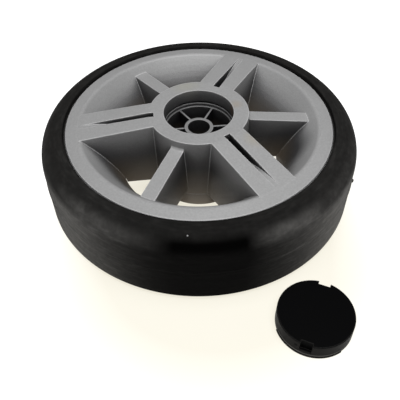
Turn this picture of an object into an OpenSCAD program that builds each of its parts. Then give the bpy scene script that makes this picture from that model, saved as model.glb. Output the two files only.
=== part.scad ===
// Spoked plastic wheel with a solid rubber tyre, lying on its back face, and the cap of its hub lying beside it.
// Millimetres. The origin is on the axle's axis at half the tyre's width, and +Z points out of the front.

/* [Tyre] */
// Outside diameter of the tyre
tyre_d = 200; // [190:1:240]
// Height of the rubber between the rim's flanges and the tread
tyre_rise = 16; // [12:0.5:24]
// Width of the tyre between its side faces
tyre_w = 52; // [46:0.5:64]
// Radius of the tread's edge on the front
front_shoulder_r = 14.5; // [6:0.5:15]
// Radius of the tread's edge on the back
back_shoulder_r = 5; // [2:0.5:12]
// How far the tyre's side faces stand past the rim's flanges
tyre_proud = 2; // [1:0.25:4]
// Width of the open groove between a flange and the tyre's side
groove_w = 1; // [0.5:0.1:2]
// Depth of that groove below the tyre's side face
groove_depth = 3.2; // [2.5:0.1:5]
// Height of the mould line round the middle of the tread
flash_h = 0.3; // [0.1:0.05:0.6]
// Width of the mould line
flash_w = 0.9; // [0.4:0.1:2]

/* [Rim] */
// Thickness of a flange at its edge
flange_t = 4; // [3:0.25:7]
// Depth of the tyre's seat below the flanges
seat_depth = 4; // [2:0.25:5]
// Radial clearance between the rim and the tyre
tyre_fit = 0.15; // [0.1:0.05:0.5]
// Wall of the rim's barrel
barrel_wall = 3; // [2:0.25:3.5]
// Width of the sloping face round the dish
face_w = 9; // [6:0.5:10]
// Rise of that face from the flange to the dish
face_rise = 1.7; // [0.5:0.1:3]
// Radius of the round between that face and the dish
face_round = 3; // [1:0.25:4]
// Chamfer on the outer edge of the face
face_chamfer = 0.7; // [0.3:0.1:1.5]

/* [Dish] */
// Diameter of the dish's lower edge, which is the openings' outer edge
dish_low_d = 103.2; // [94:0.2:110]
// Depth of that edge below the front flange's edge
dish_depth = 31.2; // [26:0.2:33]
// Swell of the dish's side towards the axle
dish_swell = 1.8; // [0.5:0.1:4]
// Wall of the dish
dish_wall = 3; // [2:0.25:4]

/* [Hub] */
// Outside diameter of the hub
hub_d = 62.5; // [58:0.5:66]
// Length of the hub
hub_len = 52.6; // [48:0.2:55]
// How far the hub's front end stands past the front flange's edge
hub_rise = 7.6; // [4:0.2:10]
// Step in the hub's side at the mould's parting plane
hub_step = 0.8; // [0.4:0.1:2]
// Diameter of the seat that takes the cap
cap_seat_d = 43.7; // [40:0.1:48]
// Depth of that seat
cap_seat_depth = 12.3; // [11.5:0.1:14]
// Width of the ledge at the foot of the seat
ledge_w = 0.9; // [0.5:0.1:2]
// Depth of the groove that the cap's bead snaps into
snap_depth = 0.4; // [0.2:0.05:0.6]
// Diameter of the axle bore
axle_d = 14.1; // [12:0.1:16]
// Outside diameter of the axle's boss
boss_d = 18.4; // [17.5:0.1:22]
// Thickness of the thin ribs between the boss and the hub
hub_rib_t = 1.2; // [0.8:0.1:2]
// Drop of the thin ribs below the boss and the ledge
hub_rib_drop = 0.3; // [0.2:0.1:2]
// Floor that closes the hub at the back
hub_floor = 4; // [2.5:0.5:8]

/* [Spokes] */
// Number of double spokes, with as many single ribs between them
spoke_count = 3; // [3:1:4]
// Turn of the first double spoke from the +X side
spoke_turn = 185.5; // [180:0.5:190]
// Width of a double spoke at the hub
pair_w_hub = 23.7; // [18:0.1:25]
// Width of a double spoke at the rim
pair_w_rim = 25.3; // [20:0.1:28]
// Depth of a double spoke's foot below the front flange's edge
pair_depth = 34.5; // [33.5:0.5:38]
// Width of the slot in a double spoke at the hub
slot_w_hub = 4.2; // [2.5:0.1:5]
// Width of that slot at the rim
slot_w_rim = 3; // [1.5:0.1:4]
// Wall left between the cap's seat and the slot
slot_wall = 6.3; // [4:0.1:8]
// Radius of the slot's floor, which falls from the rim's face towards the hub
slot_floor_r = 90; // [70:1:140]
// Distance of the slot's shallow end from the dish's upper edge
slot_end = 1; // [0.5:0.25:6]
// Width of the pocket cut from the back into each half of a double spoke
pocket_w = 4; // [2:0.25:4.5]
// Wall left over that pocket
pocket_roof = 3.5; // [2.5:0.25:6]
// Wall left between that pocket and the hub
pocket_in_wall = 3; // [2:0.25:8]
// Distance of the pocket's outer end from the dish's upper edge
pocket_out_wall = 12; // [8:0.5:20]
// Width of a single rib along its top
rib_w = 8.4; // [5:0.2:12]
// Drop of a single rib's top below the hub's front end
rib_drop_hub = 6; // [3:0.2:9]
// Drop of a single rib's top below the front flange's edge where it meets the dish
rib_drop_rim = 3.3; // [1:0.1:6]
// Radius of the blend between a single rib's top and the hub
rib_blend = 1.8; // [0.5:0.1:3]
// Depth of a single rib's foot below the front flange's edge
rib_depth = 30; // [24:0.5:31]
// Draft of the spokes' sides, in degrees
draft = 3; // [1:0.25:4]

/* [Back] */
// Thickness of the webs that run from the hub to the rim on the back
web_t = 3; // [2:0.25:4.5]
// Depth of the back edge of these webs behind the middle of the wheel
web_back = 20; // [16:0.5:21]

/* [Cap] */
// Diameter of the cap's face
cap_d = 42.6; // [39:0.1:46]
// Height of the cap
cap_h = 10.1; // [8:0.1:11]
// How far the cap's side spreads towards its open edge
cap_spread = 0.15; // [0:0.05:0.2]
// Height of the snap bead at the open edge
bead_h = 1.6; // [1:0.1:2.5]
// How far the bead stands out of the side
bead_out = 0.45; // [0.3:0.05:0.5]
// Angle that each of the two beads covers
bead_angle = 110; // [60:5:150]
// Wall of the cap's side
cap_wall = 1.8; // [1.2:0.1:2.5]
// Thickness of the cap's face
cap_face = 2; // [1.2:0.1:3]
// Width of the two notches that a screwdriver lifts the cap by
notch_w = 6.6; // [4:0.2:10]
// Depth of a notch from the cap's side
notch_depth = 2.5; // [1.5:0.1:4]
// Height of a notch's foot above the open edge
notch_foot = 2.8; // [2.2:0.1:5]
// Turn of the notches from the +X side
notch_turn = 67.5; // [0:0.5:180]
// Gap between the tread and the cap that lies beside it
cap_gap = 9.84; // [2:0.02:40]
// Turn of the cap's place from the +X side
cap_turn = -61.64; // [-90:0.02:0]

/* [Hidden] */
$fn = 96;
tyre_r = tyre_d / 2;
flange_r = tyre_r - tyre_rise;
seat_r = flange_r - seat_depth;
barrel_r = seat_r - barrel_wall;
face_r = flange_r - face_w;
hub_r = hub_d / 2;
cap_seat_r = cap_seat_d / 2;
cavity_r = cap_seat_r - ledge_w;
slot_r = cap_seat_r + slot_wall;
bar_in = (cap_seat_r + hub_r) / 2;
dish_low_r = dish_low_d / 2;
floor_z = -tyre_w / 2;
edge_z = tyre_w / 2 - tyre_proud;
face_z = edge_z + face_rise;
hub_z = edge_z + hub_rise;
hub_back_z = hub_z - hub_len;
part_z = edge_z - pair_depth;
dish_low_z = edge_z - dish_depth;
ledge_z = hub_z - cap_seat_depth;
// The cap's bead sits in this groove when its face is level with the hub's end
snap_slack = 0.1;
snap_z = hub_z - cap_h - snap_slack;
snap_h = bead_h + 2 * snap_slack;
dish_steps = 10;
slot_steps = 12;
slot_exit = 4;
blend_bite = 0.1;
arc_steps = 8;
spoke_step = 360 / spoke_count;
far = 200;

// Points of the dish's side from the face down to the openings, moved outwards by off
dish_run = [dish_low_r - face_r, dish_low_z - face_z];
dish_out = [-dish_run[1], dish_run[0]] / norm(dish_run);
function dish_point(t, off) =
    [face_r, face_z] + t * dish_run + (off - dish_swell * 4 * t * (1 - t)) * dish_out;
function dish_line(off) = [for (i = [0:dish_steps]) dish_point(i / dish_steps, off)];
function reversed(list) = [for (i = [len(list) - 1:-1:0]) list[i]];

// Height on a line through two points, at radius r
function height_at(a, b, r) = a[1] + (b[1] - a[1]) * (r - a[0]) / (b[0] - a[0]);

// Round between the face and the dish, from the dish up to the face
face_tilt = atan(face_rise / face_w);
dish_tilt = atan2(-dish_point(0.05, 0)[1] + face_z, face_r - dish_point(0.05, 0)[0]);
face_turn = face_tilt + dish_tilt;
round_reach = face_round * tan(face_turn / 2);
round_low = [face_r - round_reach * cos(dish_tilt), face_z - round_reach * sin(dish_tilt)];
round_middle = round_low + face_round * [sin(dish_tilt), -cos(dish_tilt)];
face_rounding = [for (i = [0:arc_steps])
    let (a = 90 + dish_tilt - i / arc_steps * face_turn) round_middle + face_round * [cos(a), sin(a)]];

// Rim: face, two flanges with the tyre's seat between them, barrel and dish, turned in one
module rim() {
    dish_back = [for (p = dish_line(dish_wall)) if (p[0] < barrel_r && p[1] > dish_low_z) p];
    dish_foot = dish_point(1, dish_wall);
    last = dish_back[len(dish_back) - 1];
    corner_z = height_at(dish_point(0, dish_wall), dish_back[0], barrel_r);
    rotate_extrude()
        polygon(concat(
            reversed([for (p = dish_line(0)) if (p[1] < round_low[1]) p]),
            face_rounding,
            [[flange_r - face_chamfer, edge_z + face_rise * face_chamfer / face_w],
             [flange_r, edge_z - face_chamfer],
             [flange_r, edge_z - flange_t],
             [seat_r, edge_z - flange_t],
             [seat_r, -edge_z + flange_t],
             [flange_r, -edge_z + flange_t],
             [flange_r, -edge_z + face_chamfer],
             [flange_r - face_chamfer, -edge_z],
             [barrel_r, -edge_z],
             [barrel_r, corner_z]],
            dish_back,
            [[height_r(last, dish_foot, dish_low_z), dish_low_z]]));
}

// Radius on a line through two points, at height z
function height_r(a, b, z) = a[0] + (b[0] - a[0]) * (z - a[1]) / (b[1] - a[1]);

// Space in front of the dish that a spoke may fill, from its foot up to the line of its top,
// which runs from the hub to inside the rim
module spoke_zone(top, foot) {
    low = max(foot, dish_low_z + 0.5);
    last = top[len(top) - 1];
    rotate_extrude()
        polygon(concat(
            [[0, foot], [0, top[0][1]]],
            top,
            [for (p = dish_line(dish_wall / 2)) if (p[1] < last[1] - 1 && p[1] > low + 1) p],
            [[height_r(dish_point(0.9, dish_wall / 2), dish_point(1, dish_wall / 2), low), low]],
            foot < low ? [[dish_low_r, low], [dish_low_r - 1, foot]] : []));
}

// All that lies past one side of a spoke, whose half width grows from the hub to the rim
module past_side(half_hub, half_rim, top) {
    turn = atan((half_rim - half_hub) / (face_r - hub_r));
    translate([hub_r, half_hub, top])
        rotate([0, 0, turn])
            rotate([draft, 0, 0])
                translate([-far / 2, 0, -far / 2])
                    cube([far, far, far]);
}

// Radial bar with drafted sides, higher and deeper than the zone that cuts it
module bar(half_hub, half_rim, top) {
    spare = 2;
    difference() {
        translate([bar_in, -flange_r / 2, part_z - spare])
            cube([flange_r - bar_in, flange_r, top - part_z + 2 * spare]);
        past_side(half_hub, half_rim, top);
        mirror([0, 1, 0])
            past_side(half_hub, half_rim, top);
    }
}

module double_spokes() {
    intersection() {
        for (i = [0:spoke_count - 1])
            rotate([0, 0, spoke_turn + i * spoke_step])
                bar(pair_w_hub / 2, pair_w_rim / 2, hub_z);
        spoke_zone([[hub_r, hub_z], [face_r, face_z], [face_r + face_round, face_z - face_round / 4]], part_z);
    }
}

module single_ribs() {
    rib_top = hub_z - rib_drop_hub;
    rib_end = edge_z - rib_drop_rim;
    rib_end_r = height_r(dish_point(0.1, 0), dish_point(0.2, 0), rib_end);
    fall = (rib_end - rib_top) / (rib_end_r - hub_r);
    blend = [for (i = [0:arc_steps])
        let (a = 90 * i / arc_steps, r = rib_blend * (1 - cos(a)) - blend_bite)
            [hub_r + r, rib_top + fall * r + rib_blend * (1 - sin(a))]];
    intersection() {
        for (i = [0:spoke_count - 1])
            rotate([0, 0, spoke_turn + (i + 0.5) * spoke_step])
                bar(rib_w / 2, rib_w / 2, rib_top);
        spoke_zone(concat(blend, [[rib_end_r + 1, rib_end + fall]]), edge_z - rib_depth);
    }
}

// Height of a double spoke's top at radius r
function top_z(r) = hub_z + (face_z - hub_z) * (r - hub_r) / (face_r - hub_r);

// Depth of the slot at radius r. Its floor is an arc that leaves the spoke's top at a small angle.
function slot_depth(r) =
    let (x = face_r - slot_end - r + slot_floor_r * sin(slot_exit))
        slot_floor_r * cos(slot_exit) - sqrt(slot_floor_r * slot_floor_r - x * x);

// Upright plate of the given width along +X, with its side outlined in radius and height
module plate(w, outline) {
    translate([0, w / 2, 0])
        rotate([90, 0, 0])
            linear_extrude(w)
                polygon(outline);
}

// Line of the slot's floor
function slot_line(from_r, to_r) =
    [for (i = [0:slot_steps]) let (r = from_r + (to_r - from_r) * i / slot_steps) [r, top_z(r) - slot_depth(r)]];

// Slot down the middle of a double spoke
module slot() {
    turn = atan((slot_w_rim - slot_w_hub) / 2 / (face_r - slot_r));
    difference() {
        plate(2 * slot_w_hub, concat(slot_line(slot_r, face_r), [[face_r, far], [slot_r, far]]));
        for (side = [0, 1])
            mirror([0, side, 0])
                translate([slot_r, slot_w_hub / 2, 0])
                    rotate([0, 0, turn])
                        translate([-far / 2, 0, -far / 2])
                            cube([far, far, 2 * far]);
    }
}

// Pockets cut into the two halves of a double spoke from the back
module pockets() {
    middle = (pair_w_hub + slot_w_hub) / 4;
    pocket_in = hub_r + pocket_in_wall;
    pocket_out = face_r - pocket_out_wall;
    for (side = [-1, 1])
        translate([0, side * middle, 0])
            plate(pocket_w, [[pocket_in, hub_back_z],
                             [pocket_in, top_z(pocket_in) - pocket_roof],
                             [pocket_out, top_z(pocket_out) - pocket_roof],
                             [pocket_out, hub_back_z]]);
}

// Thin web that runs out to the barrel, higher and deeper than the zone that cuts it
module web(from_r) {
    translate([from_r, -web_t / 2, floor_z])
        cube([barrel_r + barrel_wall / 2 - from_r, web_t, tyre_w]);
}

// Space behind the dish and the spokes, which the webs fill
module web_zone() {
    rotate_extrude()
        polygon(concat(
            [[0, -web_back], [0, part_z + 1], [dish_low_r - 2, part_z + 1], [dish_low_r - 1, dish_low_z + 1.5]],
            reversed([for (p = dish_line(dish_wall / 2)) if (p[0] < barrel_r && p[1] > dish_low_z + 2) p]),
            [[flange_r, edge_z - flange_t], [flange_r, -web_back]]));
}

module webs() {
    intersection() {
        for (i = [0:spoke_count - 1]) {
            rotate([0, 0, spoke_turn + i * spoke_step])
                web(hub_r - 2);
            for (k = [1:3])
                rotate([0, 0, spoke_turn + (i + k / 4) * spoke_step])
                    web(dish_low_r + dish_wall);
        }
        web_zone();
    }
}

// Hub with the cap's seat, the ribbed cavity and the axle's boss, open to the front
module hub_core() {
    translate([0, 0, part_z])
        cylinder(r = hub_r, h = hub_z - part_z);
    translate([0, 0, hub_back_z])
        cylinder(r1 = hub_r - hub_step - 0.4, r2 = hub_r - hub_step, h = part_z - hub_back_z);
}

module hub_cavity() {
    rib_in = (axle_d + boss_d) / 4;
    difference() {
        union() {
            translate([0, 0, ledge_z])
                cylinder(r = cap_seat_r, h = cap_seat_depth + 1);
            translate([0, 0, hub_back_z + hub_floor])
                cylinder(r = cavity_r, h = hub_len - hub_floor);
            translate([0, 0, snap_z])
                cylinder(r = cap_seat_r + snap_depth, h = snap_h);
        }
        translate([0, 0, hub_back_z])
            cylinder(d = boss_d, h = ledge_z - hub_back_z);
        for (i = [0:2 * spoke_count - 1])
            rotate([0, 0, spoke_turn + i * spoke_step / 2])
                translate([rib_in, -hub_rib_t / 2, hub_back_z])
                    cube([hub_r - rib_in, hub_rib_t, ledge_z - hub_rib_drop - hub_back_z]);
    }
}

// Hub, double spokes and single ribs. Each slot is cut before the rim joins them, so the dish is its floor
module spider() {
    difference() {
        union() {
            hub_core();
            double_spokes();
            single_ribs();
        }
        for (i = [0:spoke_count - 1])
            rotate([0, 0, spoke_turn + i * spoke_step])
                slot();
    }
}

module wheel_hub() {
    color([0.62, 0.63, 0.64])
        difference() {
            union() {
                rim();
                spider();
                webs();
            }
            for (i = [0:spoke_count - 1])
                rotate([0, 0, spoke_turn + i * spoke_step])
                    pockets();
            hub_cavity();
            translate([0, 0, hub_back_z - 1])
                cylinder(d = axle_d, h = hub_len);
        }
}

// Points of a quarter round from angle a to a + 90
function quarter(centre, r, a) =
    [for (i = [0:arc_steps]) centre + r * [cos(a + 90 * i / arc_steps), sin(a + 90 * i / arc_steps)]];

module tyre() {
    inner_r = flange_r + tyre_fit;
    groove_r = flange_r + groove_w;
    color([0.07, 0.07, 0.07])
        rotate_extrude()
            polygon(concat(
                [[groove_r, floor_z]],
                quarter([tyre_r - back_shoulder_r, floor_z + back_shoulder_r], back_shoulder_r, -90),
                [[tyre_r, -flash_w / 2],
                 [tyre_r + flash_h, -flash_w / 4],
                 [tyre_r + flash_h, flash_w / 4],
                 [tyre_r, flash_w / 2]],
                quarter([tyre_r - front_shoulder_r, -floor_z - front_shoulder_r], front_shoulder_r, 0),
                [[groove_r, -floor_z],
                 [groove_r, -floor_z - groove_depth],
                 [inner_r, -floor_z - groove_depth],
                 [inner_r, edge_z - flange_t],
                 [seat_r + tyre_fit, edge_z - flange_t],
                 [seat_r + tyre_fit, -edge_z + flange_t],
                 [inner_r, -edge_z + flange_t],
                 [inner_r, floor_z + groove_depth],
                 [groove_r, floor_z + groove_depth]]));
}

// Turned body of the cap, with its foot wider by out up to the height of the bead
module cap_body(out) {
    side_r = cap_d / 2 + cap_spread;
    edge = 0.4;
    rotate_extrude()
        polygon([[0, 0],
                 [side_r + out - 0.2, 0],
                 [side_r + out, 0.3],
                 [side_r + out, bead_h - 0.3],
                 [side_r, bead_h],
                 [cap_d / 2, cap_h - edge],
                 [cap_d / 2 - edge, cap_h],
                 [0, cap_h]]);
}

// Wedge round +X that covers the given angle
module wedge(angle, h) {
    linear_extrude(h)
        polygon([[0, 0],
                 cap_d * [cos(angle / 2), -sin(angle / 2)],
                 [1.2 * cap_d, 0],
                 cap_d * [cos(angle / 2), sin(angle / 2)]]);
}

module hub_cap() {
    inside_r = cap_d / 2 - cap_wall;
    notch_in = cap_d / 2 - notch_depth;
    cap_away = tyre_r + cap_gap + cap_d / 2;
    translate([cap_away * cos(cap_turn), cap_away * sin(cap_turn), floor_z])
        color([0.03, 0.03, 0.03])
            rotate([0, 0, notch_turn])
                difference() {
                    union() {
                        difference() {
                            union() {
                                cap_body(0);
                                for (side = [0, 180])
                                    rotate([0, 0, side])
                                        intersection() {
                                            cap_body(bead_out);
                                            wedge(bead_angle, bead_h);
                                        }
                            }
                            translate([0, 0, -1])
                                cylinder(r = inside_r, h = cap_h - cap_face + 1);
                        }
                        for (side = [0, 180])
                            rotate([0, 0, side])
                                intersection() {
                                    translate([notch_in - cap_wall, -notch_w / 2 - cap_wall, 0])
                                        cube([notch_depth + cap_wall, notch_w + 2 * cap_wall, cap_h - cap_face / 2]);
                                    cylinder(r = inside_r + 0.5, h = cap_h);
                                }
                    }
                    for (side = [0, 180])
                        rotate([0, 0, side])
                            translate([notch_in, -notch_w / 2, notch_foot])
                                cube([notch_depth + 5, notch_w, cap_h]);
                }
}

wheel_hub();
tyre();
hub_cap();
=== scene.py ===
# Dresses the packed wheel: its moulded hub and rim, its rubber tyre and the cap that lies beside it.
# Everything is in metres, in the packed model's frame. The wheel's axle stands upright at the origin.
import math

import bpy
from mathutils import Matrix, Vector


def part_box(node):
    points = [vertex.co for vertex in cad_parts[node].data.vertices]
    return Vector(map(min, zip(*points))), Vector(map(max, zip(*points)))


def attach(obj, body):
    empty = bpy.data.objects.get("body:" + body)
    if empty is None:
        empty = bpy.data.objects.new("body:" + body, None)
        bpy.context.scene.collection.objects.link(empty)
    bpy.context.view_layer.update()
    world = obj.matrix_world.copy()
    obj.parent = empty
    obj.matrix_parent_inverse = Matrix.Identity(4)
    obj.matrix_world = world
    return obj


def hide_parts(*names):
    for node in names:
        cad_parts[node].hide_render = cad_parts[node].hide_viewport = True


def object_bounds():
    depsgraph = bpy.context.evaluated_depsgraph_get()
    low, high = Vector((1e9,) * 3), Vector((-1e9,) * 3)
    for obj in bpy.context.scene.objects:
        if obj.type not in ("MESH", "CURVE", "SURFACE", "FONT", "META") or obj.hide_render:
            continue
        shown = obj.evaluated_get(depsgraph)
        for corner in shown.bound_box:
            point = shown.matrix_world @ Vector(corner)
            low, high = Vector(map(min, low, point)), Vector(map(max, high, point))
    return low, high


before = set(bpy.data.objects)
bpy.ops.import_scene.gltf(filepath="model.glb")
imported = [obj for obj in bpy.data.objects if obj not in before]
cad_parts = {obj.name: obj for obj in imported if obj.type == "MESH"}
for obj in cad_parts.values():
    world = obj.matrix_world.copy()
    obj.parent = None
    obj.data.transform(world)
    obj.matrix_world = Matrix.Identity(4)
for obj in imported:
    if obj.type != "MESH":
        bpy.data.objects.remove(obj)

bl_info = {
    "name": "Spoked Wheel Looks",
    "version": (1, 0, 0),
    "blender": (4, 5, 0),
    "location": "View3D > Sidebar > Wheel",
    "description": "Models and paints a moulded wheel, its rubber tyre and its hub cap",
    "category": "Add Mesh",
}

MM = 0.001
BOUNDS_OF_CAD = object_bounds()
TYRE_LOW, TYRE_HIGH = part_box("tyre")
HUB_LOW, HUB_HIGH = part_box("wheel_hub")
CAP_LOW, CAP_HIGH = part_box("hub_cap")

# The small hole in the cap's side, painted black as the shade inside it, and the nub that the mould left on the
# tread, by their turn from +X
PINHOLE_TURN = -127
PINHOLE_HEIGHT = 6.6 * MM
PINHOLE_R = 0.8 * MM
# How far the cap's snap bead stands out of its side, and the height of the painted highlight line above it
BEAD_OUT = 0.45 * MM
BEAD_LINE = 2 * MM
NUB_TURN = -18
NUB_R = 0.9 * MM
NUB_TALL = 1.7
NUB_SUNK = 0.5 * MM
# Middle of the painted shade, a dimmer cream tone, that the camera sees on the floor round the wheel
SHADE_HALO_MIDDLE = (10 * MM, -62 * MM, 0)
# A pale speck on the tyre's shoulder, by radius, turn and height
SPECK = (93.5 * MM, 266, 23.8 * MM)
# Radius of the hub's mouth, and how high the painted light bounced from the floor reaches inside the wheel, above
# the hub's back end
MOUTH_R = 21.8 * MM
LOW_BOUNCE_H = 36 * MM
# Faint stains on the hub, and in the last entry a painted shadow in the dish beside the short rib at the right:
# place by radius, turn and height, then radius, strength and colour
HUB_STAINS_AND_SHADE = [
    ((21.8 * MM, 13, 27 * MM), 5 * MM, 0.8, (0.16, 0.085, 0.04)),
    ((24.5 * MM, 16, 31.6 * MM), 5 * MM, 0.35, (0.36, 0.29, 0.2)),
    ((29.5 * MM, 107, 31.6 * MM), 12 * MM, 0.5, (0.37, 0.365, 0.31)),
    ((41.5 * MM, 324, 30.2 * MM), 9 * MM, 0.5, (0.4, 0.365, 0.29)),
    # Painted shadow: the dish beside the short rib, darkened where the rib shades it
    ((60 * MM, 347, 8 * MM), 20 * MM, 0.85, (0.03, 0.03, 0.032)),
]


def length(label, description, default, top=0.5):
    """A size in metres that a user may change."""
    return bpy.props.FloatProperty(
        name=label, description=description, default=default, min=0.0, max=top, precision=5, unit="LENGTH"
    )


def colour(label, description, default):
    """A plain colour that a user may change."""
    return bpy.props.FloatVectorProperty(
        name=label, description=description, default=default, min=0.0, max=1.0, size=3, subtype="COLOR"
    )


def share(label, description, default):
    """A number from 0 to 1 that a user may change."""
    return bpy.props.FloatProperty(
        name=label, description=description, default=default, min=0.0, max=1.0, subtype="FACTOR"
    )


class TyreSizes(bpy.types.PropertyGroup):
    """Sizes of the rubber tyre."""

    front_round: length("Front shoulder", "Radius of the tread's front edge", 14.5 * MM)
    back_round: length("Back shoulder", "Radius of the tread's back edge", 5 * MM)
    lip_round: length("Lip round", "Radius of the edge beside the rim's groove", 0.7 * MM)
    groove_r: length("Groove radius", "Radius of the side's inner edge", 85 * MM)
    groove_depth: length("Groove depth", "Depth of the groove beside the rim", 3.2 * MM)
    inner_r: length("Inner radius", "Radius of the tyre over the flanges", 84.15 * MM)
    seat_r: length("Seat radius", "Radius of the tyre between the flanges", 80.15 * MM)
    seat_half: length("Seat half width", "Half of the tyre's width between the flanges", 20 * MM)
    line_h: length("Mould line height", "Height of the mould line round the tread", 0.3 * MM)
    line_w: length("Mould line width", "Width of the mould line", 0.9 * MM)


class Finish(bpy.types.PropertyGroup):
    """Colours and gloss of the three materials."""

    hub: colour("Hub plastic", "Colour of the moulded grey plastic", (0.365, 0.365, 0.366))
    # Painted shade of the hub plastic in deep places
    hub_deep_shade: colour("Hub shade in depth", "Painted shade of the same plastic in deep places", (0.078, 0.077, 0.079))
    # Painted shade of the hub plastic in shut places
    hub_shut_shade: colour("Hub shade in narrow places", "Painted shade of the same plastic in shut places", (0.004, 0.004, 0.005))
    # Painted light: the warm light bounced from the floor onto the low inside of the wheel
    hub_floor_bounce: colour("Hub floor bounce", "Colour of the painted light bounced from the floor low inside the wheel", (0.26, 0.21, 0.15))
    hub_rough: share("Hub roughness", "Roughness of the moulded plastic", 0.38)
    tyre: colour("Rubber", "Colour of the tyre's rubber", (0.0015, 0.0014, 0.0014))
    # Bloom on the rubber, and painted sheen
    tyre_bloom_and_sheen: colour("Rubber bloom and painted sheen", "Colour of the dull bloom and painted sheen on the rubber", (0.15, 0.146, 0.14))
    tyre_rough: share("Rubber roughness", "Roughness of the rubber", 0.42)
    cap: colour("Cap plastic", "Colour of the cap's plastic", (0.003, 0.003, 0.0032))
    # Painted highlights on the cap's edges and along its bead
    cap_edge_highlight: colour("Cap edge highlights", "Colour of the cap's rubbed edges", (0.035, 0.034, 0.032))
    # Painted reflection: the side is paler than the top
    cap_side_reflection: colour("Cap side reflection", "Colour of the painted reflection on the cap's side", (0.02, 0.019, 0.0175))
    cap_rough: share("Cap roughness", "Roughness of the cap's plastic", 0.4)


class StageSizes(bpy.types.PropertyGroup):
    """Floor, lamps and camera."""

    floor_r: length("Floor radius", "Radius of the pale floor", 3.0, top=10)
    floor_colour: colour("Floor", "Colour of the floor", (0.86, 0.855, 0.84))
    glow_colour: colour("Glow", "Colour of the light that comes through the floor", (0.95, 0.91, 0.78))
    glow: share("Glow strength", "Strength of the light that comes through the floor", 0.22)
    floor_seen: share("Seen glow strength", "Strength of that light as the camera sees it", 0.83)
    shadow_seen: share("Seen shadow", "Share of the floor's own shading that the camera sees", 0.25)
    shade_halo: length("Halo", "Width of the painted cream shade round the tyre", 65 * MM)
    key: bpy.props.FloatProperty(
        name="Key lamp", description="Power of the large lamp over the wheel", default=22.0, unit="POWER"
    )
    side: bpy.props.FloatProperty(
        name="Side lamps", description="Power of each lamp at the sides", default=0.8, unit="POWER"
    )
    room: bpy.props.FloatProperty(
        name="Room light", description="Strength of the light from all round", default=0.02, min=0.0, max=2.0
    )


def deselect():
    if bpy.context.object and bpy.context.object.mode != "OBJECT":
        bpy.ops.object.mode_set(mode="OBJECT")
    bpy.ops.object.select_all(action="DESELECT")


def activate(piece):
    deselect()
    piece.select_set(True)
    bpy.context.view_layer.objects.active = piece


def arc(centre, radius, start, end, steps):
    """Points of a round from angle start to angle end, in degrees, as radius and height."""
    turns = [math.radians(start + (end - start) * i / steps) for i in range(steps + 1)]
    return [(centre[0] + radius * math.cos(t), centre[1] + radius * math.sin(t)) for t in turns]


def spun(name, outline, steps, centre=(0.0, 0.0)):
    """Extrudes one corner along the outline's points, closes it and spins it round the upright axis."""
    deselect()
    bpy.ops.mesh.primitive_plane_add(size=MM, location=(0, 0, 0))
    piece = bpy.context.object
    piece.name = piece.data.name = name
    bpy.ops.object.mode_set(mode="EDIT")
    bpy.ops.mesh.select_all(action="SELECT")
    bpy.ops.mesh.merge(type="CENTER")
    run = [(r, h) for r, h in outline] + [outline[0]]
    bpy.ops.transform.translate(value=(centre[0] + run[0][0], centre[1], run[0][1]))
    for (r0, h0), (r1, h1) in zip(run, run[1:]):
        bpy.ops.mesh.extrude_region_move(TRANSFORM_OT_translate={"value": (r1 - r0, 0, h1 - h0)})
    bpy.ops.mesh.select_all(action="SELECT")
    bpy.ops.mesh.remove_doubles(threshold=1e-7)
    bpy.ops.mesh.select_all(action="SELECT")
    bpy.ops.mesh.spin(
        steps=steps, angle=2 * math.pi, center=(centre[0], centre[1], 0), axis=(0, 0, 1), use_auto_merge=True
    )
    bpy.ops.mesh.select_all(action="SELECT")
    bpy.ops.mesh.remove_doubles(threshold=1e-6)
    bpy.ops.mesh.normals_make_consistent(inside=False)
    bpy.ops.object.mode_set(mode="OBJECT")
    return piece


def smooth(piece, degrees=35):
    activate(piece)
    bpy.ops.object.shade_smooth_by_angle(angle=math.radians(degrees))


def paint(piece, material):
    piece.data.materials.clear()
    piece.data.materials.append(material)


class Nodes:
    """Adds nodes to a tree and links them by short calls."""

    def __init__(self, tree):
        self.tree = tree
        self.column = 0

    def add(self, kind, **values):
        node = self.tree.nodes.new(kind)
        node.location = (self.column * 190, -(self.column % 3) * 180)
        self.column += 1
        for key, value in values.items():
            setattr(node, key, value)
        return node

    def link(self, out, into):
        self.tree.links.new(out, into)

    def feed(self, socket, value):
        if isinstance(value, bpy.types.NodeSocket):
            self.link(value, socket)
        else:
            socket.default_value = value

    def math(self, operation, a, b=0.0, clamp=False):
        node = self.add("ShaderNodeMath", operation=operation, use_clamp=clamp)
        self.feed(node.inputs[0], a)
        self.feed(node.inputs[1], b)
        return node.outputs[0]

    def vector(self, operation, a, b=(0, 0, 0)):
        node = self.add("ShaderNodeVectorMath", operation=operation)
        self.feed(node.inputs[0], a)
        self.feed(node.inputs[1], b)
        return node.outputs[0]

    def noise(self, where, scale, detail=2.0, rough=0.5):
        node = self.add("ShaderNodeTexNoise")
        self.link(where, node.inputs["Vector"])
        self.feed(node.inputs["Scale"], scale)
        self.feed(node.inputs["Detail"], detail)
        self.feed(node.inputs["Roughness"], rough)
        return node.outputs[0]

    def span(self, value, low, high, to_low=0.0, to_high=1.0):
        """Maps value from low..high to to_low..to_high, held at the ends."""
        node = self.add("ShaderNodeMapRange")
        self.feed(node.inputs["Value"], value)
        self.feed(node.inputs["From Min"], low)
        self.feed(node.inputs["From Max"], high)
        self.feed(node.inputs["To Min"], to_low)
        self.feed(node.inputs["To Max"], to_high)
        return node.outputs["Result"]

    def mix(self, factor, a, b, blend="MIX"):
        node = self.add("ShaderNodeMix", data_type="RGBA", blend_type=blend)
        self.feed(node.inputs[0], factor)
        self.feed(node.inputs[6], a)
        self.feed(node.inputs[7], b)
        return node.outputs[2]

    def group(self, tree, **values):
        node = self.add("ShaderNodeGroup")
        node.node_tree = tree
        for key, value in values.items():
            self.feed(node.inputs[key.replace("_", " ")], value)
        return node


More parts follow.
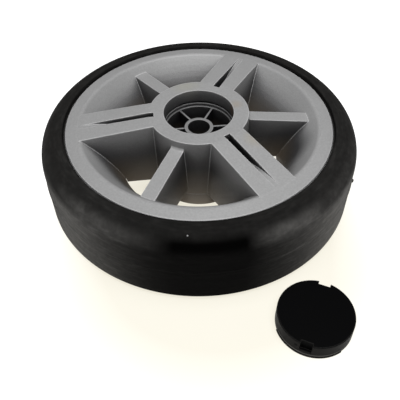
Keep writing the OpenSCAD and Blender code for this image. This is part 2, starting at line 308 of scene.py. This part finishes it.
def group_of(name, inputs, outputs):
    """An empty shader node group with float or vector sockets, and its input and output nodes."""
    tree = bpy.data.node_groups.new(name, "ShaderNodeTree")
    for label, kind, default in inputs:
        socket = tree.interface.new_socket(label, in_out="INPUT", socket_type=kind)
        if default is not None:
            socket.default_value = default
    for label, kind in outputs:
        tree.interface.new_socket(label, in_out="OUTPUT", socket_type=kind)
    nodes = Nodes(tree)
    return tree, nodes, nodes.add("NodeGroupInput"), nodes.add("NodeGroupOutput")


def edge_highlight_mask():
    """Group that puts out 1 on a convex or concave edge and 0 on a plain face, for painted highlights on edges."""
    tree, nodes, given, result = group_of(
        "Edge highlight mask", [("Radius", "NodeSocketFloat", 0.0006)], [("Mask", "NodeSocketFloat")]
    )
    bevel = nodes.add("ShaderNodeBevel", samples=6)
    nodes.link(given.outputs["Radius"], bevel.inputs["Radius"])
    plain = nodes.add("ShaderNodeNewGeometry")
    dot = nodes.add("ShaderNodeVectorMath", operation="DOT_PRODUCT")
    nodes.link(bevel.outputs["Normal"], dot.inputs[0])
    nodes.link(plain.outputs["Normal"], dot.inputs[1])
    nodes.link(nodes.span(dot.outputs["Value"], 0.999, 0.95), result.inputs["Mask"])
    return tree


def deep_places():
    """Group that puts out 1 in the open and falls to 0 in deep or narrow places."""
    tree, nodes, given, result = group_of(
        "Deep places",
        [
            ("Reach", "NodeSocketFloat", 0.04),
            ("Closed", "NodeSocketFloat", 0.2),
            ("Open", "NodeSocketFloat", 0.9),
            ("Power", "NodeSocketFloat", 1.0),
        ],
        [("Mask", "NodeSocketFloat")],
    )
    shut = nodes.add("ShaderNodeAmbientOcclusion", samples=12)
    nodes.link(given.outputs["Reach"], shut.inputs["Distance"])
    open_share = nodes.span(shut.outputs["AO"], given.outputs["Closed"], given.outputs["Open"])
    nodes.link(nodes.math("POWER", open_share, given.outputs["Power"]), result.inputs["Mask"])
    return tree


def moulded_grain():
    """Group for the fine grain of moulded plastic: a tint value round 1 and a height."""
    tree, nodes, given, result = group_of(
        "Moulded grain",
        [
            ("Place", "NodeSocketVector", None),
            ("Size", "NodeSocketFloat", 0.0005),
            ("Contrast", "NodeSocketFloat", 0.1),
        ],
        [("Tint", "NodeSocketFloat"), ("Height", "NodeSocketFloat")],
    )
    scale = nodes.math("DIVIDE", 1.0, given.outputs["Size"])
    fine = nodes.noise(given.outputs["Place"], scale, detail=1.5)
    broad = nodes.noise(given.outputs["Place"], nodes.math("MULTIPLY", scale, 0.02), detail=3.0)
    both = nodes.math("ADD", nodes.math("MULTIPLY", fine, 0.6), nodes.math("MULTIPLY", broad, 0.4))
    swing = nodes.math("MULTIPLY", nodes.math("SUBTRACT", both, 0.5), given.outputs["Contrast"])
    nodes.link(nodes.math("ADD", swing, 1.0), result.inputs["Tint"])
    nodes.link(fine, result.inputs["Height"])
    return tree


def ring_streaks():
    """Group for fine streaks that run round the upright axis, as a turned or rubbed rubber shows."""
    tree, nodes, given, result = group_of(
        "Ring streaks",
        [
            ("Place", "NodeSocketVector", None),
            ("Along", "NodeSocketFloat", 30.0),
            ("Across", "NodeSocketFloat", 900.0),
        ],
        [("Streak", "NodeSocketFloat")],
    )
    parts = nodes.add("ShaderNodeSeparateXYZ")
    nodes.link(given.outputs["Place"], parts.inputs[0])
    flat = nodes.math(
        "SQRT",
        nodes.math(
            "ADD",
            nodes.math("POWER", parts.outputs[0], 2.0),
            nodes.math("POWER", parts.outputs[1], 2.0),
        ),
    )
    across = nodes.math("MULTIPLY", nodes.math("ADD", parts.outputs[2], flat), given.outputs["Across"])
    joined = nodes.add("ShaderNodeCombineXYZ")
    nodes.link(nodes.math("MULTIPLY", parts.outputs[0], given.outputs["Along"]), joined.inputs[0])
    nodes.link(nodes.math("MULTIPLY", parts.outputs[1], given.outputs["Along"]), joined.inputs[1])
    nodes.link(across, joined.inputs[2])
    nodes.link(nodes.noise(joined.outputs[0], 1.0, detail=3.0, rough=0.6), result.inputs["Streak"])
    return tree


def new_material(name):
    material = bpy.data.materials.new(name)
    material.use_nodes = True
    tree = material.node_tree
    tree.nodes.clear()
    nodes = Nodes(tree)
    shader = nodes.add("ShaderNodeBsdfPrincipled")
    output = nodes.add("ShaderNodeOutputMaterial")
    nodes.link(shader.outputs[0], output.inputs["Surface"])
    place = nodes.add("ShaderNodeTexCoord").outputs["Object"]
    return material, nodes, shader, place


def bumped(nodes, height, distance, strength=1.0, normal=None):
    bump = nodes.add("ShaderNodeBump")
    bump.inputs["Strength"].default_value = strength
    bump.inputs["Distance"].default_value = distance
    nodes.link(height, bump.inputs["Height"])
    if normal is not None:
        nodes.link(normal, bump.inputs["Normal"])
    return bump.outputs["Normal"]


def rgba(values, factor=1.0):
    return (values[0] * factor, values[1] * factor, values[2] * factor, 1.0)


def spot(nodes, place, where, inner, outer):
    """1 within the inner radius of a point and 0 past the outer one."""
    away = nodes.add("ShaderNodeVectorMath", operation="DISTANCE")
    nodes.link(place, away.inputs[0])
    away.inputs[1].default_value = where
    return nodes.span(away.outputs["Value"], inner, outer, 1.0, 0.0)


def around(radius, turn, height):
    """Point at a radius and a turn, in degrees, round the axle."""
    return (radius * math.cos(math.radians(turn)), radius * math.sin(math.radians(turn)), height)


def hub_plastic(groups, finish):
    """Mid-grey moulded plastic with a fine grain, faint stains, painted highlights on its edges, painted shade in
    deep, shut and shadowed places and in its mouth, and painted light bounced from the floor low inside the wheel.
    """
    material, nodes, shader, place = new_material("Moulded grey plastic")
    grain = nodes.group(groups["grain"], Place=place, Size=0.001, Contrast=0.55)
    edges = nodes.group(groups["edges"], Radius=0.001)
    base = nodes.mix(1.0, rgba(finish.hub), grain.outputs["Tint"], blend="MULTIPLY")
    # Painted shade: the plastic darkens in deep places
    deep = nodes.group(groups["deep"], Reach=0.05, Closed=0.38, Open=0.63, Power=1.0)
    shut = nodes.group(groups["deep"], Reach=0.05, Closed=0.1, Open=0.36, Power=1.2)
    shaded = nodes.mix(deep.outputs[0], rgba(finish.hub_deep_shade), base)
    # Stains, and the painted shadow of the list's last entry
    for where, radius, strength, tint in HUB_STAINS_AND_SHADE:
        stain_and_shade = nodes.math("MULTIPLY", spot(nodes, place, around(*where), radius * 0.3, radius), strength)
        shaded = nodes.mix(stain_and_shade, shaded, (*tint, 1.0))
    parts = nodes.add("ShaderNodeSeparateXYZ")
    nodes.link(place, parts.inputs[0])
    height = parts.outputs[2]
    from_axle = nodes.add("ShaderNodeVectorMath", operation="LENGTH")
    nodes.link(nodes.vector("MULTIPLY", place, (1, 1, 0)), from_axle.inputs[0])
    # Painted shade: darker inside the hub's mouth, below its top
    mouth = nodes.math(
        "MULTIPLY",
        nodes.span(from_axle.outputs["Value"], MOUTH_R, MOUTH_R + 0.5 * MM, 1.0, 0.0),
        nodes.span(height, HUB_HIGH.z - 4 * MM, HUB_HIGH.z - 2 * MM, 1.0, 0.0),
    )
    shaded = nodes.mix(nodes.math("MULTIPLY", mouth, 0.35), shaded, rgba(finish.hub_deep_shade))
    # Painted highlights on convex and concave edges, weaker inside the mouth
    highlighted = nodes.math("MULTIPLY", edges.outputs[0], nodes.span(mouth, 0.0, 1.0, 0.8, 0.12))
    with_highlights = nodes.mix(highlighted, shaded, rgba(finish.hub, 1.8))
    # Painted shade: near black in shut places
    shut_off = nodes.mix(shut.outputs[0], rgba(finish.hub_shut_shade), with_highlights)
    # Painted light: a warm tone bounced from the floor, strongest at the hub's back end
    floor_bounce = nodes.span(height, HUB_LOW.z, HUB_LOW.z + LOW_BOUNCE_H, 0.75, 0.0)
    nodes.link(nodes.mix(floor_bounce, shut_off, rgba(finish.hub_floor_bounce)), shader.inputs["Base Color"])
    rough = nodes.span(grain.outputs["Height"], 0.3, 0.7, finish.hub_rough - 0.05, finish.hub_rough + 0.06)
    nodes.link(rough, shader.inputs["Roughness"])
    bevel = nodes.add("ShaderNodeBevel", samples=8)
    bevel.inputs["Radius"].default_value = 0.001
    nodes.link(
        bumped(nodes, grain.outputs["Height"], 0.00008, 0.6, bevel.outputs["Normal"]), shader.inputs["Normal"]
    )
    return material


def turned_from(nodes, place, turn):
    """Cosine of the angle round the axle between the place and the given turn, in degrees."""
    along = nodes.add("ShaderNodeVectorMath", operation="DOT_PRODUCT")
    nodes.link(nodes.vector("NORMALIZE", nodes.vector("MULTIPLY", place, (1, 1, 0))), along.inputs[0])
    along.inputs[1].default_value = (math.cos(math.radians(turn)), math.sin(math.radians(turn)), 0)
    return along.outputs["Value"]


def patch(nodes, place, turn, spread, strength):
    """Soft patch of the given strength round a turn of the axle, gone past the spread."""
    near = nodes.span(turned_from(nodes, place, turn), math.cos(math.radians(spread)), 1.0)
    return nodes.math("MULTIPLY", nodes.math("POWER", near, 1.5), strength)


def rubber(groups, finish):
    """Near-black rubber with a dull bloom in streaks and painted sheen, thin at the front, thick on both sides of
    the tread, thin on the side's lip.
    """
    material, nodes, shader, place = new_material("Black rubber")
    fine = nodes.group(groups["streaks"], Place=place, Along=110.0, Across=800.0)
    broad = nodes.group(groups["streaks"], Place=place, Along=45.0, Across=420.0)
    cloud = nodes.noise(place, 320.0, detail=4.0)
    streaks = nodes.math(
        "MULTIPLY", nodes.span(fine.outputs[0], 0.35, 0.68), nodes.span(broad.outputs[0], 0.32, 0.66), clamp=True
    )
    parts = nodes.add("ShaderNodeSeparateXYZ")
    nodes.link(place, parts.inputs[0])
    height = parts.outputs[2]
    # Painted sheen: the bloom is thinnest at the tyre's front and grows towards both sides
    round_front = turned_from(nodes, place, 274)
    tread = nodes.span(round_front, 0.995, 0.57, 0.03, 0.9)
    tread.node.interpolation_type = "SMOOTHSTEP"
    tread = nodes.math("MULTIPLY", tread, nodes.span(round_front, 0.1, 0.6, 0.25, 1.0))
    # Painted sheen, with real scuffs: patches on the shoulder left and right of the front
    shoulder = nodes.math("ADD", patch(nodes, place, 236, 26, 0.4), patch(nodes, place, 301, 17, 0.5))
    shoulder = nodes.math("ADD", shoulder, patch(nodes, place, 320, 22, 0.16))
    shoulder = nodes.math("ADD", shoulder, nodes.span(round_front, 0.8, 0.4, 0.0, 0.18))
    tread = nodes.math("ADD", tread, patch(nodes, place, 308, 24, 0.2))
    up_tread = nodes.span(height, 12.5 * MM, 18.5 * MM)
    up_tread.node.interpolation_type = "SMOOTHSTEP"
    up_lip = nodes.span(height, 20 * MM, 24.5 * MM)
    up_lip.node.interpolation_type = "SMOOTHSTEP"
    dust = nodes.math("MULTIPLY", tread, nodes.span(up_tread, 0.0, 1.0, 1.0, 0.0))
    dust = nodes.math("ADD", dust, nodes.math("MULTIPLY", shoulder, up_tread))
    dust = nodes.math("MULTIPLY", dust, nodes.span(up_lip, 0.0, 1.0, 1.0, 0.0))
    dust = nodes.math("ADD", dust, nodes.math("MULTIPLY", up_lip, nodes.span(round_front, 0.7, 1.0, 0.13, 0.08)))
    dust = nodes.math("MULTIPLY", dust, nodes.span(cloud, 0.35, 0.65, 0.9, 1.1))
    dust = nodes.math("MULTIPLY", dust, nodes.span(streaks, 0.1, 0.7, 0.86, 1.3))
    bloom = nodes.math("MAXIMUM", dust, nodes.span(cloud, 0.68, 0.8, 0.0, 0.06), clamp=True)
    # Rubber colour with its bloom and painted sheen
    bloom_and_sheen_colour = nodes.mix(bloom, rgba(finish.tyre), rgba(finish.tyre_bloom_and_sheen))
    speck = spot(nodes, place, around(*SPECK), 0.3 * MM, 0.6 * MM)
    nodes.link(nodes.mix(speck, bloom_and_sheen_colour, rgba(finish.hub)), shader.inputs["Base Color"])
    rough = nodes.span(fine.outputs[0], 0.3, 0.7, finish.tyre_rough - 0.07, finish.tyre_rough + 0.09)
    nodes.link(rough, shader.inputs["Roughness"])
    shader.inputs["Specular IOR Level"].default_value = 0.003
    nodes.link(bumped(nodes, fine.outputs[0], 0.00012, 0.5), shader.inputs["Normal"])
    return material


def cap_plastic(groups, finish):
    """Black satin plastic with a very fine grain, painted highlights on its edges and along its bead, a side
    painted paler than its top as a reflection, and one small hole in its side painted black as its shade.
    """
    material, nodes, shader, place = new_material("Black satin plastic")
    grain = nodes.group(groups["grain"], Place=place, Size=0.0004, Contrast=0.25)
    edges = nodes.group(groups["edges"], Radius=0.0005)
    base = nodes.mix(1.0, rgba(finish.cap), grain.outputs["Tint"], blend="MULTIPLY")
    # Painted highlights on the cap's edges
    with_painted_light = nodes.mix(nodes.math("MULTIPLY", edges.outputs[0], 0.7), base, rgba(finish.cap_edge_highlight))
    parts = nodes.add("ShaderNodeSeparateXYZ")
    nodes.link(place, parts.inputs[0])
    # Painted reflection: the side is paler than the top, except in its notches
    on_side = nodes.span(parts.outputs[2], CAP_HIGH.z - 0.9 * MM, CAP_HIGH.z - 0.4 * MM, 1.0, 0.0)
    middle, reach = (CAP_LOW + CAP_HIGH) / 2, (CAP_HIGH.x - CAP_LOW.x) / 2 - BEAD_OUT / 2
    flat = nodes.vector("MULTIPLY", place, (1, 1, 0))
    in_notch = spot(nodes, flat, (middle.x, middle.y, 0), reach - 1.2 * MM, reach - 0.7 * MM)
    dull = nodes.math("MULTIPLY", on_side, nodes.span(in_notch, 0.0, 1.0, 0.7, 0.0))
    with_painted_light = nodes.mix(dull, with_painted_light, rgba(finish.cap_side_reflection))
    # Painted highlight: a pale line along the bead's edge
    off_line = nodes.math("ABSOLUTE", nodes.math("SUBTRACT", parts.outputs[2], CAP_LOW.z + BEAD_LINE))
    with_painted_light = nodes.mix(nodes.span(off_line, 0.15 * MM, 0.5 * MM), rgba(finish.cap_edge_highlight, 4.0), with_painted_light)
    # Painted shade: the hole is a black disc on the side
    side = around(reach, PINHOLE_TURN, 0)
    hole = (middle.x + side[0], middle.y + side[1], CAP_LOW.z + PINHOLE_HEIGHT)
    inside = spot(nodes, place, hole, PINHOLE_R, PINHOLE_R * 1.4)
    nodes.link(nodes.mix(inside, with_painted_light, (0, 0, 0, 1)), shader.inputs["Base Color"])
    rough = nodes.span(grain.outputs["Height"], 0.3, 0.7, finish.cap_rough - 0.05, finish.cap_rough + 0.06)
    nodes.link(rough, shader.inputs["Roughness"])
    shader.inputs["Specular IOR Level"].default_value = 0.02
    bevel = nodes.add("ShaderNodeBevel", samples=6)
    bevel.inputs["Radius"].default_value = 0.0004
    nodes.link(
        bumped(nodes, grain.outputs["Height"], 0.00004, 0.5, bevel.outputs["Normal"]), shader.inputs["Normal"]
    )
    return material


def white_to_the_eye(tree, seen, light, strength):
    """Background that lights with one colour and shows another to the camera and through glass."""
    nodes = Nodes(tree)
    tree.nodes.clear()
    lamp = nodes.add("ShaderNodeBackground")
    lamp.inputs[0].default_value = light
    lamp.inputs[1].default_value = strength
    view = nodes.add("ShaderNodeBackground")
    view.inputs[0].default_value = seen
    view.inputs[1].default_value = 1.0
    path = nodes.add("ShaderNodeLightPath")
    ray = nodes.math("MAXIMUM", path.outputs["Is Camera Ray"], path.outputs["Is Transmission Ray"])
    both = nodes.add("ShaderNodeMixShader")
    nodes.link(ray, both.inputs[0])
    nodes.link(lamp.outputs[0], both.inputs[1])
    nodes.link(view.outputs[0], both.inputs[2])
    output = nodes.add("ShaderNodeOutputWorld")
    nodes.link(both.outputs[0], output.inputs[0])


def floor_paint(stage):
    """Pale floor that shows the camera white, with the shadow kept."""
    material, nodes, shader, place = new_material("Pale floor")
    path = nodes.add("ShaderNodeLightPath")
    seen = nodes.math("MAXIMUM", path.outputs["Is Camera Ray"], path.outputs["Is Transmission Ray"])
    paint_seen = nodes.mix(seen, rgba(stage.floor_colour), rgba(stage.floor_colour, stage.shadow_seen))
    nodes.link(paint_seen, shader.inputs["Base Color"])
    shader.inputs["Roughness"].default_value = 0.8
    shader.inputs["Specular IOR Level"].default_value = 0.1
    # Painted shade: the camera sees the floor dimmer and cream near and under the wheel
    near = spot(nodes, place, SHADE_HALO_MIDDLE, TYRE_HIGH.x * 0.75, TYRE_HIGH.x * 0.75 + stage.shade_halo)
    nodes.link(nodes.mix(near, (1, 1, 1, 1), rgba(stage.glow_colour)), shader.inputs["Emission Color"])
    strength = nodes.span(near, 0.0, 1.0, 1.2, stage.floor_seen)
    nodes.link(nodes.span(seen, 0.0, 1.0, stage.glow, strength), shader.inputs["Emission Strength"])
    return material


def tyre_outline(sizes):
    """Section of the tyre, from the groove's front lip round the tread to the seat."""
    outer, low, high = TYRE_HIGH.x - sizes.line_h, TYRE_LOW.z, TYRE_HIGH.z
    lip, front, back = sizes.lip_round, sizes.front_round, sizes.back_round
    half = sizes.line_w / 2
    points = arc((sizes.groove_r + lip, high - lip), lip, 180, 90, 5)
    points += arc((outer - front, high - front), front, 90, 0, 22)
    points += [(outer, half * 4), (outer, half * 1.6), (outer + sizes.line_h * 0.35, half)]
    points += [(outer + sizes.line_h, half * 0.35), (outer + sizes.line_h, -half * 0.35)]
    points += [(outer + sizes.line_h * 0.35, -half), (outer, -half * 1.6), (outer, -half * 4)]
    points += arc((outer - back, low + back), back, 0, -90, 10)
    points += arc((sizes.groove_r + lip, low + lip), lip, 270, 180, 5)
    floor_back, floor_front = low + sizes.groove_depth, high - sizes.groove_depth
    points += [(sizes.groove_r, floor_back), (sizes.inner_r, floor_back)]
    points += [(sizes.inner_r, -sizes.seat_half), (sizes.seat_r, -sizes.seat_half)]
    points += [(sizes.seat_r, sizes.seat_half), (sizes.inner_r, sizes.seat_half)]
    points += [(sizes.inner_r, floor_front), (sizes.groove_r, floor_front)]
    return points


class WHEEL_OT_tyre(bpy.types.Operator):
    """Model the rubber tyre and paint it"""

    bl_idname = "wheel.tyre"
    bl_label = "Tyre"

    def execute(self, context):
        sizes = context.scene.wheel_tyre
        piece = spun("tyre_rubber_ring", tyre_outline(sizes), 192)
        smooth(piece)
        paint(piece, materials["rubber"])
        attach(piece, "root")
        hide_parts("tyre")

        deselect()
        where = around(TYRE_HIGH.x, NUB_TURN, 0)
        bpy.ops.mesh.primitive_uv_sphere_add(segments=16, ring_count=8, radius=NUB_R, location=where)
        nub = context.object
        nub.name = nub.data.name = "tread_nub"
        bpy.ops.object.transform_apply(location=True)
        bpy.ops.object.mode_set(mode="EDIT")
        bpy.ops.mesh.select_all(action="SELECT")
        bpy.ops.transform.resize(value=(1, 1, NUB_TALL), center_override=where)
        bpy.ops.mesh.bisect(
            plane_co=around(TYRE_HIGH.x - NUB_SUNK, NUB_TURN, 0),
            plane_no=around(1, NUB_TURN, 0),
            use_fill=True,
            clear_inner=True,
        )
        bpy.ops.object.mode_set(mode="OBJECT")
        smooth(nub, 60)
        paint(nub, materials["rubber"])
        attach(nub, "root")
        return {"FINISHED"}


class WHEEL_OT_hub(bpy.types.Operator):
    """Paint the moulded hub, spokes and rim"""

    bl_idname = "wheel.hub"
    bl_label = "Hub and rim"

    def execute(self, context):
        paint(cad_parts["wheel_hub"], materials["hub"])
        return {"FINISHED"}


class WHEEL_OT_cap(bpy.types.Operator):
    """Paint the hub cap"""

    bl_idname = "wheel.cap"
    bl_label = "Hub cap"

    def execute(self, context):
        paint(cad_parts["hub_cap"], materials["cap"])
        return {"FINISHED"}


class WHEEL_OT_paints(bpy.types.Operator):
    """Make the node groups and the three materials"""

    bl_idname = "wheel.paints"
    bl_label = "Materials"

    def execute(self, context):
        finish = context.scene.wheel_finish
        groups = {
            "edges": edge_highlight_mask(),
            "deep": deep_places(),
            "grain": moulded_grain(),
            "streaks": ring_streaks(),
        }
        materials["hub"] = hub_plastic(groups, finish)
        materials["rubber"] = rubber(groups, finish)
        materials["cap"] = cap_plastic(groups, finish)
        return {"FINISHED"}


class WHEEL_OT_stage(bpy.types.Operator):
    """Set the floor, the lamps, the room and the camera"""

    bl_idname = "wheel.stage"
    bl_label = "Stage"

    def execute(self, context):
        scene = context.scene
        stage = scene.wheel_stage
        scene.view_settings.view_transform = "Standard"
        scene.world = bpy.data.worlds.new("Room")
        scene.world.use_nodes = True
        white_to_the_eye(scene.world.node_tree, (1, 1, 1, 1), (1.0, 0.99, 0.97, 1), stage.room)

        deselect()
        bpy.ops.mesh.primitive_circle_add(
            vertices=96, radius=stage.floor_r, fill_type="NGON", location=(0, 0, BOUNDS_OF_CAD[0].z)
        )
        floor = context.object
        floor.name = "floor"
        bpy.ops.object.transform_apply(location=True)
        paint(floor, floor_paint(stage))

        lamps = [
            ("key_lamp", (0.06, -0.3, 1.4), 1.1, stage.key),
            ("left_lamp", (-1.0, -0.45, 0.25), 0.5, stage.side),
            ("right_lamp", (1.0, -0.35, 0.25), 0.5, stage.side),
        ]
        for name, where, size, power in lamps:
            deselect()
            bpy.ops.object.light_add(type="AREA", location=where)
            lamp = context.object
            lamp.name = name
            lamp.data.energy = power
            lamp.data.size = size
            lamp.rotation_euler = (-Vector(where)).to_track_quat("-Z", "Y").to_euler()

        deselect()
        bpy.ops.object.camera_add()
        camera = context.object
        camera.name = "camera"
        right = Vector((0.99992859, -0.00901607, -0.00784378))
        up = Vector((0.01194289, 0.73049831, 0.68281007))
        forward = Vector((0.00042639, 0.68285499, -0.73055382))
        turned = Matrix((right, up, -forward)).transposed().to_4x4()
        camera.matrix_world = Matrix.Translation((0.0, -0.27280, 0.24269)) @ turned
        camera.data.sensor_width = 36.0
        camera.data.lens = 49.316
        camera.data.clip_start = 0.01
        camera.data.clip_end = 20.0
        scene.camera = camera
        return {"FINISHED"}


class WHEEL_PT_panel(bpy.types.Panel):
    """Sizes, colours and steps of the wheel"""

    bl_label = "Wheel"
    bl_idname = "WHEEL_PT_panel"
    bl_space_type = "VIEW_3D"
    bl_region_type = "UI"
    bl_category = "Wheel"

    def draw(self, context):
        for heading, group in GROUPS.items():
            box = self.layout.box()
            box.label(text=group.__doc__)
            settings = getattr(context.scene, heading)
            for key in group.__annotations__:
                box.prop(settings, key)
        for operator in OPERATORS:
            self.layout.operator(operator.bl_idname)


materials = {}
GROUPS = {"wheel_tyre": TyreSizes, "wheel_finish": Finish, "wheel_stage": StageSizes}
OPERATORS = (WHEEL_OT_stage, WHEEL_OT_paints, WHEEL_OT_hub, WHEEL_OT_tyre, WHEEL_OT_cap)


def register():
    for group in (*GROUPS.values(), *OPERATORS, WHEEL_PT_panel):
        bpy.utils.register_class(group)
    for heading, group in GROUPS.items():
        setattr(bpy.types.Scene, heading, bpy.props.PointerProperty(type=group))


def unregister():
    for heading in GROUPS:
        delattr(bpy.types.Scene, heading)
    for group in reversed((*GROUPS.values(), *OPERATORS, WHEEL_PT_panel)):
        bpy.utils.unregister_class(group)


def main():
    register()
    for operator in OPERATORS:
        family, step = operator.bl_idname.split(".")
        getattr(getattr(bpy.ops, family), step)()


if __name__ == "__main__":
    main()
